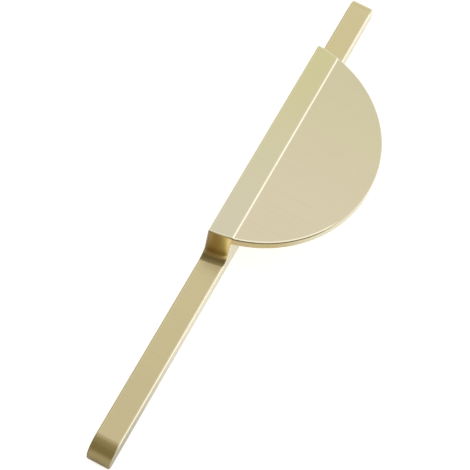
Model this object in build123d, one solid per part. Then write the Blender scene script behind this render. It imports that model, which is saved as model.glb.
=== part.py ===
# Half-moon cabinet pull: a square bar that lies flat on the door, raised over
# its middle stretch, with a half-moon plate along one side of the raised stretch.
# The whole pull is one casting. Fingers go behind the plate, beside the raised stretch.
#
# Frame, in millimetres: +Z runs up along the bar, the door's face is the plane y = 0,
# the pull's front looks towards -Y, and the half-moon reaches out towards +X.
# The origin is on the door, midway between the two screw holes.

from build123d import *
import math
import os

os.makedirs("parts", exist_ok=True)

# Driving sizes of the bar: a square section, with its ends rounded over towards the door
bar_width = 10.0
bar_depth = 10.0
bar_length = 238.0
bar_end_radius = 7.5
bar_edge_radius = 0.7
bar_back_edge_radius = 0.4

# Driving sizes of the half-moon plate, and of the room for fingers behind it
finger_room = 24.0
plate_radius = 50.0
plate_thickness = 4.2
plate_centre_outset = 3.1
plate_height_on_bar = 23.0
plate_back_edge_radius = 0.3

# Driving sizes of the raised stretch, whose front is a strip that stands proud of the plate
strip_step = 0.4
raised_foot_radius = 3.8

# Driving sizes of the two blind screw holes in the back
screw_spacing = 192.0
tap_drill_diameter = 3.3
screw_hole_depth = 7.0
screw_hole_mouth = 0.3
drill_point_angle = 118.0

# Places that follow from the sizes above
bar_right = bar_width / 2
bar_front = -bar_depth
plate_back = -finger_room
plate_front = plate_back - plate_thickness
strip_front = plate_front - strip_step
circle_x = -bar_right - plate_centre_outset
circle_right = circle_x + plate_radius

# The rounding of the plate's rim ends as deep as that of the strip's edges, so they meet in one line
plate_edge_radius = bar_edge_radius - strip_step

# Two places closer together than this count as one
near = 0.01


def in_circle(x_start, x_end):
    """The half-moon's circle, seen from the front, cut to an upright band between two places."""
    circle = Pos(circle_x, plate_height_on_bar) * Circle(plate_radius)
    middle = (x_start + x_end) / 2
    band = Pos(middle, plate_height_on_bar) * Rectangle(x_end - x_start, 2 * plate_radius)
    return circle & band


def solid_between(outline, y_behind, y_before):
    """That outline made solid, from one distance behind to another before it."""
    plane = Plane(origin=(0, y_behind, 0), x_dir=(1, 0, 0), z_dir=(0, -1, 0))
    return extrude(plane * outline, y_behind - y_before)


def straight_bar():
    """The bar at its full length, with both ends rounded over towards the door."""
    bar = Pos(0, bar_front / 2, 0) * Box(bar_width, bar_depth, bar_length)
    front = bar.faces().sort_by(Axis.Y)[0]
    return fillet(front.edges().filter_by(Axis.X), bar_end_radius)


def bar_with_raised_stretch():
    """The bar and its raised stretch, which the half-moon's circle cuts off at both ends."""
    raised = solid_between(in_circle(-bar_right, bar_right), 0, strip_front)
    bar = straight_bar() + raised

    round_edges = bar.edges().filter_by(GeomType.CIRCLE)
    feet = round_edges.filter_by_position(Axis.Y, bar_front - near, bar_front + near)
    bar = fillet(feet, raised_foot_radius)

    side_edges = bar.faces().filter_by(Plane.YZ).edges()
    before_back = side_edges.filter_by_position(Axis.Y, strip_front - near, -near)
    strip = bar.faces().sort_by(Axis.Y)[0]
    strip_ends = strip.edges().filter_by(GeomType.CIRCLE)
    bar = fillet(before_back + strip_ends, bar_edge_radius)

    back = bar.faces().sort_by(Axis.Y)[-1]
    return fillet(back.outer_wire().edges(), bar_back_edge_radius)


def half_moon_plate():
    """The plate, from the middle of the bar to its round rim, with the rim's edges rounded."""
    plate = solid_between(in_circle(0, circle_right), plate_back, plate_front)
    front = plate.faces().sort_by(Axis.Y)[0]
    plate = fillet(front.edges().filter_by(GeomType.CIRCLE), plate_edge_radius)
    back = plate.faces().sort_by(Axis.Y)[-1]
    return fillet(back.edges().filter_by(GeomType.CIRCLE), plate_back_edge_radius)


def screw_hole():
    """A blind hole drilled into the back, with its pointed floor and an eased mouth."""
    radius = tap_drill_diameter / 2
    point_height = radius / math.tan(math.radians(drill_point_angle / 2))
    section = Polyline(
        (0, 0),
        (radius + screw_hole_mouth, 0),
        (radius, -screw_hole_mouth),
        (radius, -screw_hole_depth),
        (0, -screw_hole_depth - point_height),
        close=True,
    )
    return revolve(make_face(section), Axis.Y)


handle = bar_with_raised_stretch() + half_moon_plate()
for height in (-screw_spacing / 2, screw_spacing / 2):
    handle -= Pos(0, 0, height) * screw_hole()

export_step(handle, "parts/handle.step")
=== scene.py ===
# %% [markdown]
# # A half-moon cabinet pull in brushed satin brass
# The real pull is one brass casting. A square bar lies flat on the door, its middle stretch
# is raised, and a half-moon plate across that stretch leaves room for the fingers behind it.
# The solid comes ready made at its real size, so this lesson is about the finish and the light.

import math

import bpy
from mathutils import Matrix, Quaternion, Vector


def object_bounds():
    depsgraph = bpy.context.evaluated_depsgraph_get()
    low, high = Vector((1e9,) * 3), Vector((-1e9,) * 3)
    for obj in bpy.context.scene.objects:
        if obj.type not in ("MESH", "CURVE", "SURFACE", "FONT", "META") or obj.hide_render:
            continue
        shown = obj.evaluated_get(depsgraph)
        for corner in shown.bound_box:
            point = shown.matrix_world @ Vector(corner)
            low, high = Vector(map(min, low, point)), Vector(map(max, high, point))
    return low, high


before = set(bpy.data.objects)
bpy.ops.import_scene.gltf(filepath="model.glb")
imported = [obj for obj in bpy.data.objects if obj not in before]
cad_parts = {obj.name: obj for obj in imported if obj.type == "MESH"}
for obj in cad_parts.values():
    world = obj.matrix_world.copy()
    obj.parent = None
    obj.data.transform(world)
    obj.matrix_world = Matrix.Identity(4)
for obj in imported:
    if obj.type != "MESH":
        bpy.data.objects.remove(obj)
MM = 0.001
cad_low, cad_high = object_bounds()
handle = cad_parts["handle"]
print("handle:", len(handle.data.polygons), "triangles,",
      [round(side / MM, 1) for side in cad_high - cad_low], "mm")

# %% [markdown]
# ## Where things are on the pull
# A finish that knows where the strip, the plate and the bar lie can be built from a few places.
# They could be typed in again, but then they would drift away from the solid, so the outer ones
# are read from the frame's own box, and only the sizes inside it are written here.

# %% Places on the pull
bar_right = -cad_low.x
bar_front = -10.0 * MM
bar_edge_radius = 0.7 * MM
plate_back = -24.0 * MM
plate_radius = 50.0 * MM
circle_x = cad_high.x - plate_radius
circle_z = 23.0 * MM
strip_front = cad_low.y
crease_x = bar_right - bar_edge_radius
lower_end = cad_low.z
print("strip's front at y =", round(strip_front / MM, 2), "mm,",
      "crease at x =", round(crease_x / MM, 2), "mm")

# %% [markdown]
# ## The camera
# A real photographer lays the pull on its back and stands at its lower end, so the camera sees it
# from below its middle, a little from the right, with the bar leaning over to the right. The angle
# could be set by eye with three rotations, but aim, direction, distance and roll are easier to read.

# %% Camera
aim = Vector((4.85, -28.6, -23.27)) * MM
camera_distance = 570.8 * MM
camera_azimuth = math.radians(7.25)
camera_elevation = math.radians(-27.25)
camera_roll = math.radians(30.27)
sensor_width = 36.0
photo_width = 470
focal_length_in_pixels = 1500

towards_camera = Vector((
    math.sin(camera_azimuth) * math.cos(camera_elevation),
    -math.cos(camera_azimuth) * math.cos(camera_elevation),
    math.sin(camera_elevation),
))
camera_data = bpy.data.cameras.new("camera")
camera_data.sensor_width = sensor_width
camera_data.lens = sensor_width * focal_length_in_pixels / photo_width
camera = bpy.data.objects.new("camera", camera_data)
camera.location = aim + towards_camera * camera_distance
camera.rotation_mode = "QUATERNION"
level = (-towards_camera).to_track_quat("-Z", "Y")
camera.rotation_quaternion = level @ Quaternion((0, 0, 1), camera_roll)
bpy.context.scene.collection.objects.link(camera)
bpy.context.scene.camera = camera
print("camera:", [round(c / MM) for c in camera.location], "mm, lens", round(camera_data.lens, 1), "mm")

# %% [markdown]
# ## Shader maths as Python
# A finish is a sum of small patterns. It could be wired by hand, node after node, but a formula is
# shorter to read. This class wraps one output of a node: + - * / on it add a Math node, and its
# node method adds any other node, with the node's settings set before its sockets.

# %% A wire between shader nodes
class Wire:
    """An output of a shader node. Python's operators on it add Math nodes to its tree."""

    def __init__(self, tree, socket=None):
        self.tree = tree
        self.socket = socket

    def node(self, kind, settings=None, inputs=None, output=0):
        """Adds a node, gives it its settings and then its inputs, and returns one of its outputs."""
        made = self.tree.nodes.new(kind)
        for name, value in (settings or {}).items():
            setattr(made, name, value)
        for name, value in (inputs or {}).items():
            if isinstance(value, Wire):
                self.tree.links.new(value.socket, made.inputs[name])
            else:
                made.inputs[name].default_value = value
        return Wire(self.tree, made.outputs[output]) if made.outputs else Wire(self.tree)

    def math(self, operation, *values):
        """One Math node on these values."""
        return self.node("ShaderNodeMath", {"operation": operation}, dict(enumerate(values)))

    def root(self):
        """The square root."""
        return self.math("SQRT", self)

    def __add__(self, other):
        return self.math("ADD", self, other)

    __radd__ = __add__

    def __sub__(self, other):
        return self.math("SUBTRACT", self, other)

    def __rsub__(self, other):
        return self.math("SUBTRACT", other, self)

    def __mul__(self, other):
        return self.math("MULTIPLY", self, other)

    __rmul__ = __mul__

    def __truediv__(self, other):
        return self.math("DIVIDE", self, other)

    def __abs__(self):
        return self.math("ABSOLUTE", self)

    def split(self):
        """The three parts of a vector."""
        axes = ("X", "Y", "Z")
        return [self.node("ShaderNodeSeparateXYZ", {}, {"Vector": self}, axis) for axis in axes]

    def step(self, start, end):
        """0 before start, 1 after end, and a smooth rise between them."""
        settings = {"interpolation_type": "SMOOTHSTEP"}
        inputs = {"Value": self, "From Min": start, "From Max": end}
        return self.node("ShaderNodeMapRange", settings, inputs)

    def blend(self, colour_a, colour_b):
        """colour_a where this wire is 0 and colour_b where it is 1."""
        settings = {"data_type": "RGBA"}
        return self.node("ShaderNodeMix", settings, {0: self, 6: colour_a, 7: colour_b}, 2)

    def tinted(self, colour):
        """This colour times another colour."""
        return self.node("ShaderNodeVectorMath", {"operation": "MULTIPLY"}, {0: self, 1: colour})

    def scaled(self, factor):
        """This colour or place times a number."""
        return self.node("ShaderNodeVectorMath", {"operation": "SCALE"}, {0: self, "Scale": factor})


def new_material(name):
    """A material with an empty tree, and a wire to start its formulas from."""
    material = bpy.data.materials.new(name)
    material.use_nodes = True
    material.node_tree.nodes.clear()
    return material, Wire(material.node_tree)


print("wire ready: its operators add Math nodes")

# %% [markdown]
# ## Which way the metal looks
# A belt finish changes with the direction of each face. The true normal tells it apart: the front
# looks along -Y, the sides along X, and the ends and risers along Z. Vertex groups could mark the
# faces too, but a mask from the normal needs no list of faces and fades softly over the roundings.
# The two numbers of each step say how far the normal points that way when the mask begins and when
# it is full: 0 is square to that way, and 1 is straight along it.

# %% Masks by direction
brass, start = new_material("satin_brass")
position = start.node("ShaderNodeTexCoord", output="Object")
x, y, z = position.split()
facing = start.node("ShaderNodeNewGeometry", output="Normal")
facing_x, facing_y, facing_z = facing.split()
forward = 0 - y

to_room = 0 - facing_y
leftward = 0 - facing_x
downward = 0 - facing_z
on_front = to_room.step(0.90, 0.99)
on_side = abs(facing_x).step(0.55, 0.85)
to_lower_end = downward.step(0.0, 0.22)
to_left = leftward.step(0.1, 0.5)
print("masks: front, sides, lower end, left")

# %% [markdown]
# ## The grain of the brushing
# A satin finish is drawn over the casting with an abrasive belt, across the bar, and it leaves fine
# lines. Noise that is stretched along the lines gives them. Waves would repeat too neatly, and an
# image would need unwrapping. A line has to run on round the rounded ends and up the two risers, so
# the noise is read along the surface: z on the front, and y where the face turns down to the door.

# %% Brushing grain
along_bar = z + z.math("SIGN", z) * y
line_length = 30.0 * MM
seed_on_sides = 50


def streaks(across, along, other, line_width, seed):
    """Noise drawn out into lines: across changes every line_width, along every line_length."""
    stretched = start.node("ShaderNodeCombineXYZ", {}, {
        "X": across / line_width,
        "Y": along / line_length,
        "Z": other / line_length + seed,
    })
    settings = {"noise_dimensions": "3D"}
    return start.node("ShaderNodeTexNoise", settings, {"Vector": stretched, "Scale": 1.0, "Detail": 2.0})


def brushed(line_width, seed):
    """Lines across the bar on what faces the room, and along the bar on its sides."""
    lines_across = streaks(along_bar, x, y, line_width, seed)
    lines_along = streaks(y, z, x, line_width, seed + seed_on_sides)
    return lines_across + (lines_along - lines_across) * on_side


fine_line = 0.22 * MM
broad_line = 1.1 * MM
fine_seed = 3
broad_seed = 11
mean_noise = 0.5
fine_grain = brushed(fine_line, fine_seed) - mean_noise
broad_grain = brushed(broad_line, broad_seed) - mean_noise
print("grain: lines", round(fine_line / MM, 2), "and", round(broad_line / MM, 2), "mm wide")

# %% [markdown]
# ## Brass, part by part
# The alloy is one, but the belt meets each part differently: the bar comes out the yellowest, the
# plate paler, and the strip between them. All of it gets a little paler towards the lower end, and
# the strip loses the most yellow there. One colour would look like paint, so the tones are blended by
# place.

# %% Brass by place
bar_brass = (0.637, 0.552, 0.308, 1)
plate_brass = (0.645, 0.591, 0.381, 1)
strip_brass = (0.640, 0.594, 0.325, 1)
untinted = (1.0, 1.0, 1.0, 1)
lower_tint = (1.14, 1.09, 1.21, 1)
strip_tint = (1.075, 1.07, 1.42, 1)
tint_on_bar = 0.2

plate_from = -plate_back - 1.0 * MM
plate_full = -plate_back + 0.4 * MM
crease_blur = 0.5 * MM
on_plate = forward.step(plate_from, plate_full)
on_strip = on_plate * (1 - x.step(crease_x - crease_blur, crease_x))
metal = on_plate.blend(bar_brass, plate_brass)
metal = on_strip.blend(metal, strip_brass)

tint_starts = 75 * MM
tint_full = -30 * MM
low_down = 1 - z.step(tint_full, tint_starts)
tint_share = low_down * (tint_on_bar + (1 - tint_on_bar) * on_plate)
metal = metal.tinted(tint_share.blend(untinted, on_strip.blend(lower_tint, strip_tint)))
print("brass: three tones, tinted from", round(tint_starts / MM), "down to", round(tint_full / MM), "mm")

# %% [markdown]
# ## Painted shade where the metal turns away
# Where the metal faces the lower end, and a little where it faces the upper end, the colour is
# painted deeper: a painted shade for the dim room that these faces mirror. The lower riser gets a
# painted reflection of the bar it faces, warmer still. It is painted paler up towards the plate, and
# the hollow at its foot gets the darkest painted shade. Each of these is the same step: a mask by
# place and direction, and a blend.

# %% Deeper tones: painted shade and a painted reflection
# painted shade for faces turned down and for the foot, and a painted reflection of the bar on the riser
deep_shade_brass = (0.480, 0.385, 0.185, 1)
riser_reflection_brass = (0.725, 0.530, 0.240, 1)
pale_riser_reflection_brass = (0.900, 0.750, 0.300, 1)
foot_shade_brass = (0.320, 0.250, 0.120, 1)
foot_from = 0.02 * MM
foot_full = 0.12 * MM
foot_height = 2.5 * MM
foot_fades = foot_height / 3
riser_starts = 1.0 * MM
riser_full = 4.0 * MM
pale_from = -1.5 * MM
pale_full = 3.0 * MM
pale_height = 10.0 * MM
rounding_from = crease_x - 0.9 * MM
rounding_full = crease_x + 0.3 * MM
upper_end_share = 0.3

over_bar = forward + bar_front
beside_bar = x.step(crease_x, bar_right)
on_lower_riser = downward.step(0.0, 0.35) * over_bar.step(riser_starts, riser_full) * (1 - beside_bar)
off_rounding = 1 - x.step(rounding_from, rounding_full)
near_plate = x.step(pale_from, pale_full) * off_rounding * over_bar.step(0.0, pale_height)
above_front = over_bar.step(foot_from, foot_full)
in_foot = above_front * (1 - over_bar.step(foot_fades, foot_height)) * (1 - on_side)

# painted shade where the metal faces the lower end, and a little where it faces the upper end
metal = (to_lower_end + upper_end_share * facing_z.step(0.2, 0.6)).blend(metal, deep_shade_brass)
# painted reflection of the bar on the lower riser, paler near the plate
metal = on_lower_riser.blend(metal, near_plate.blend(riser_reflection_brass, pale_riser_reflection_brass))
# painted shade in the hollow at the riser's foot
metal = in_foot.blend(metal, foot_shade_brass)
print("deeper tones: rounded ends, riser and a foot", round(foot_height / MM, 1), "mm high")

# %% [markdown]
# ## Sides, left edges and the back edge
# The long sides are brushed the other way, along the bar, and are painted paler: a painted
# reflection of the white table beside them. The bar's left edges get a painted shade. Where they
# turn towards the lower end as well, at the riser and the bar's end, a darker painted shade is laid
# in. It is made no metal, and the shader at the end makes use of that: seen at a flat angle any
# metal mirrors all light, so even a dark one would look bright at the outline. The metal also gets a
# thin painted contact shadow all round at the door, which the white table, lifted to white, would not
# show.

# %% Sides and back edge
# side tone: a painted reflection of the white table
side_reflection_brass = (0.680, 0.640, 0.480, 1)
# dark tone for the painted shade and painted shadow lines
painted_shade_brass = (0.250, 0.190, 0.080, 1)
door_line = 1.0 * MM
door_line_full = 0.4 * MM
corner_shade_width = 2.0 * MM
corner_shade_full = 0.6 * MM
corner_shade_on_riser = 0.8

off_back = 1 - facing_y.step(0.7, 0.95)
at_door = y.step(-door_line, -door_line_full) * off_back
left_edge = to_left * (1 - on_side) * (1 - on_plate)
from_left = x + bar_right
riser_left = on_lower_riser * (1 - from_left.step(corner_shade_full, corner_shade_width))
painted_corner_shade = to_left * to_lower_end * (1 - riser_left) + corner_shade_on_riser * riser_left

# sides painted paler: a painted reflection of the white table
metal = on_side.blend(metal, side_reflection_brass)
# painted shade on the bar's left edges
metal = left_edge.blend(metal, deep_shade_brass)
# darker painted shade where the left edges turn towards the lower end
metal = painted_corner_shade.blend(metal, painted_shade_brass)
# thin painted contact shadow all round at the door
metal = at_door.blend(metal, painted_shade_brass)
print("sides paler, left edges deeper, a dark line at the door")

# %% [markdown]
# ## Two painted lines along the lower rim
# The lower rim of the half-moon gets a painted highlight, and right under that edge a narrow line
# of painted shade. Both follow the circle, so they are measured as a distance from its centre, and
# the highlight ends where the rounding turns away from the room. They run only along the lower
# rim: rim_down is 0 level with the centre and 1 at the lowest point.

# %% Rim lines
# colour of the painted highlight on the lower rim
rim_highlight_brass = (1.000, 0.945, 0.710, 1)
line_start = 0.3 * MM
line_end = 0.85 * MM
line_blur = 0.15 * MM
dark_line_fades = 0.7 * MM
dark_line_end = 1.1 * MM
dark_line_share = 0.3

from_centre = ((x - circle_x) * (x - circle_x) + (z - circle_z) * (z - circle_z)).root()
from_edge = plate_radius - from_centre
rim_down = (circle_z - z) / plate_radius
past_start = from_edge.step(line_start - line_blur, line_start + line_blur)
past_end = from_edge.step(line_end - line_blur, line_end + line_blur)
painted_rim_highlight = past_start * (1 - past_end) * on_plate * to_room.step(0.60, 0.85) * rim_down.step(0.40, 0.50)

behind_strip = y - strip_front
under_edge = (1 - behind_strip.step(dark_line_fades, dark_line_end)) * to_lower_end
line_strength = dark_line_share + (1 - dark_line_share) * beside_bar
painted_rim_shade = under_edge * rim_down.step(0.40, 0.65) * line_strength

# painted highlight along the lower rim
metal = painted_rim_highlight.blend(metal, rim_highlight_brass)
# painted shade in a narrow line right under the rim's edge
metal = painted_rim_shade.blend(metal, painted_shade_brass)
print("rim: a bright line from", line_start / MM, "to", line_end / MM, "mm inside the edge")

# %% [markdown]
# ## Clouds and grain in the colour
# Brushed brass is never quite even. Soft clouds, the size of a fingertip, and the grain itself move
# the colour by a few parts in a hundred. More would look like tarnish, and this pull is new.

# %% Clouds and grain
cloud_size = 18 * MM
cloud_place = position.scaled(1 / cloud_size)
cloud_noise = start.node("ShaderNodeTexNoise", {}, {"Vector": cloud_place, "Scale": 1.0, "Detail": 3.0})
cloud = cloud_noise - mean_noise
grain_in_colour = 0.05
cloud_in_colour = 0.04
metal = metal.scaled(
    1.0 + grain_in_colour * broad_grain + grain_in_colour * fine_grain + cloud_in_colour * cloud
)
print("clouds", round(cloud_size / MM), "mm wide")

# %% [markdown]
# ## Polished edges with a painted highlight
# Hands and the belt rub hardest on the edges, so there the metal is smoother, and a painted
# highlight makes it brighter. The bevel node finds them: it gives the normal that the surface would
# have if it were rounder, and where that differs from the true normal there is an edge. Painting
# edges by hand would not follow the solid if it changed. The highlight is painted only on edges that
# face the lamp on the right: the left and lower edges are left out, because they stay in shade, but
# the right edge of the riser is in. The painted highlight on the plate and the strip is a little
# weaker than on the bar.

# %% Polished edges with a painted highlight
# colour of the painted edge highlight
edge_highlight_brass = (0.930, 0.900, 0.780, 1)
edge_reach = 0.7 * MM
edge_from = 0.0005
edge_full = 0.012
edge_strength = 0.9
less_on_plate = 0.15

rounder = start.node("ShaderNodeBevel", {"samples": 6}, {"Radius": edge_reach})
dot_product = {"operation": "DOT_PRODUCT"}
agreement = start.node("ShaderNodeVectorMath", dot_product, {0: rounder, 1: facing}, "Value")
beside_riser = facing_x.step(0.3, 0.6) * (1 - on_plate)
highlit_side = (1 - leftward.step(0.0, 0.2)) * (1 - to_lower_end * (1 - beside_riser))
edge = (1 - agreement).step(edge_from, edge_full) * highlit_side
# painted highlight on edges that face the lamp on the right
metal = (edge * (edge_strength - less_on_plate * on_plate)).blend(metal, edge_highlight_brass)
print("edges polished over", round(edge_reach / MM, 1), "mm")

# %% [markdown]
# ## The metal itself
# Everything above feeds one Principled shader. The grain also lifts the surface by a few hundredths
# of a millimetre, because real lines stretch each highlight across themselves. The belt runs one
# way, so each line has a long and a short bank, and the front mirrors the room a little lower than
# a flat face would: its normal leans a few degrees towards the lower end. Anisotropy could stretch
# the highlight too, but it is lost when the finish is baked, and it doesn't lean.

# %% Satin brass
fine_depth = 0.02 * MM
broad_depth = 0.03 * MM
satin_roughness = 0.30
grain_in_roughness = 0.05
cloud_in_roughness = 0.03
smoother_edges = 0.06
corner_shade_cover = 0.9
lean_angle = math.radians(7.5)

relief = fine_grain * (fine_depth / broad_depth) + broad_grain
lean = start.node("ShaderNodeCombineXYZ", {}, {"Z": on_front * -math.tan(lean_angle)})
leaning = start.node("ShaderNodeVectorMath", {"operation": "ADD"}, {0: facing, 1: lean})
grain_normal = start.node("ShaderNodeBump", {}, {
    "Height": relief,
    "Distance": broad_depth,
    "Strength": 1.0,
    "Normal": start.node("ShaderNodeVectorMath", {"operation": "NORMALIZE"}, {0: leaning}),
})
roughness = satin_roughness + grain_in_roughness * broad_grain + cloud_in_roughness * cloud
surface = start.node("ShaderNodeBsdfPrincipled", {}, {
    "Base Color": metal,
    # the painted corner shade is made no metal, so it stays dark at the outline
    "Metallic": 1 - corner_shade_cover * painted_corner_shade,
    "Roughness": roughness - smoother_edges * edge,
    "Normal": grain_normal,
})
start.node("ShaderNodeOutputMaterial", {}, {"Surface": surface})
for material_slot in handle.material_slots:
    material_slot.material = brass
print("satin brass on", len(handle.material_slots), "slot, roughness", satin_roughness)

# %% [markdown]
# ## The floor
# The pull lies on a white table, which is the plane of the door. Four corners and one face are all
# that it takes. A built-in plane would do too, but it lies level and would have to be turned. The
# floor is much larger than the pull, so its edge is far outside the picture, and a hair behind the
# back face, because two faces in one plane flicker.

# %% Floor
floor_half = 4.0
floor_gap = 0.2 * MM
corners = [(floor_half * a, floor_gap, floor_half * b) for a, b in ((-1, 1), (1, 1), (1, -1), (-1, -1))]
floor_mesh = bpy.data.meshes.new("floor")
floor_mesh.from_pydata(corners, [], [(3, 2, 1, 0)])
floor = bpy.data.objects.new("floor", floor_mesh)
bpy.context.scene.collection.objects.link(floor)
print("floor:", round(2 * floor_half), "m wide,", floor_gap / MM, "mm behind the back face")

# %% [markdown]
# ## White paper on the floor
# Under light that suits the brass a white floor comes out grey, so a glow lifts it to white where
# the camera looks at it, and partly where the brass mirrors it. The lift is added to the floor's own
# shading, so the pull's shadow stays in it. More lamps would whiten it too, but they would bleach
# the brass as well. Seen from behind the floor is clear, and so it is to the back face that lies on
# it, which would otherwise mirror nothing but the dark gap.

# %% White paper
paper, sheet = new_material("white_floor")
light_path = {name: sheet.node("ShaderNodeLightPath", output=name)
              for name in ("Is Camera Ray", "Is Glossy Ray", "Is Transmission Ray", "Ray Length")}
lift_in_view = 0.6
lift_in_mirror = 0.5
mirror_from = lower_end - 5 * MM
mirror_full = lower_end + 80 * MM
paper_white = (0.9, 0.9, 0.9, 1)
floor_z = sheet.node("ShaderNodeTexCoord", output="Object").split()[2]
# in the mirror the lift fades out below the pull's lower end: a painted shade on the floor that only the
# brass sees
up_the_bar = floor_z.step(mirror_from, mirror_full)
mirrored = light_path["Is Glossy Ray"] + light_path["Is Transmission Ray"]
lift = lift_in_view * light_path["Is Camera Ray"] + lift_in_mirror * up_the_bar * mirrored

matt = sheet.node("ShaderNodeBsdfDiffuse", {}, {"Color": paper_white})
glow = sheet.node("ShaderNodeEmission", {}, {"Color": (1, 1, 1, 1), "Strength": 1.0})
matt_and_glow = sheet.node("ShaderNodeAddShader", {}, {0: matt, 1: glow})
lifted = sheet.node("ShaderNodeMixShader", {}, {0: lift, 1: matt, 2: matt_and_glow})

clear = sheet.node("ShaderNodeBsdfTransparent")
from_behind = sheet.node("ShaderNodeNewGeometry", output="Backfacing")
gap_ray = 1.0 * MM
from_back_face = light_path["Is Glossy Ray"] * sheet.math("LESS_THAN", light_path["Ray Length"], gap_ray)
one_sided = sheet.node("ShaderNodeMixShader", {}, {0: from_behind + from_back_face, 1: lifted, 2: clear})
sheet.node("ShaderNodeOutputMaterial", {}, {"Surface": one_sided})
floor_mesh.materials.append(paper)
floor.visible_shadow = False
print("paper: lifted by", lift_in_view, "in view and up to", lift_in_mirror, "in the mirror")

# %% [markdown]
# ## Softboxes
# A soft lamp on the right draws the bright lines along the pull's edges, and a faint one before its
# upper end softens the shadow on the floor. Both are large, because a small lamp would leave hot
# spots on brushed metal. One lamp from the camera would leave all of it flat.

# %% Softboxes
def softbox(name, direction, distance, size, radiance):
    """A square area lamp that faces the pull, with the radiance that the metal sees in it."""
    data = bpy.data.lights.new(name, "AREA")
    data.shape = "SQUARE"
    data.size = size
    data.energy = radiance * size * size * math.pi
    lamp = bpy.data.objects.new(name, data)
    away = Vector(direction).normalized()
    lamp.location = aim + away * distance
    lamp.rotation_mode = "QUATERNION"
    lamp.rotation_quaternion = (-away).to_track_quat("-Z", "Y")
    bpy.context.scene.collection.objects.link(lamp)
    return lamp


above = softbox("softbox_above", direction=(-0.13, -0.80, 0.62), distance=1.2, size=1.3, radiance=0.15)
right = softbox("softbox_right", direction=(0.90, -0.20, 0.42), distance=1.2, size=1.2, radiance=1.0)
print("softboxes:", round(above.data.energy, 2), "W above,", round(right.data.energy, 2), "W on the right")

# %% [markdown]
# ## The room
# Brass shows only what it mirrors, so the room is the real light here. It is bright above and dims
# below the pull, as in a studio where the light comes from the ceiling and the far wall: the flat
# faces mirror the bright part, and the rounded end and the riser roll over into the dim part. A
# picture of a real room could be mirrored too, but two colours and one blend are easier to tune.

# %% Room
room = bpy.data.worlds.new("room")
bpy.context.scene.world = room
room.use_nodes = True
room.node_tree.nodes.clear()
air = Wire(room.node_tree)
upward = air.node("ShaderNodeTexCoord", output="Generated").split()[2]
dim_side = (0.380, 0.340, 0.232, 1)
bright_side = (0.857, 0.857, 0.857, 1)
dim_below = -0.65
bright_from = 0.02
room_light = upward.step(dim_below, bright_from).blend(dim_side, bright_side)
background = air.node("ShaderNodeBackground", {}, {"Color": room_light, "Strength": 1.0})
air.node("ShaderNodeOutputWorld", {}, {"Surface": background})
bpy.context.scene.view_settings.view_transform = "Standard"
print("room: from", dim_side[:3], "below to", bright_side[:3], "above")
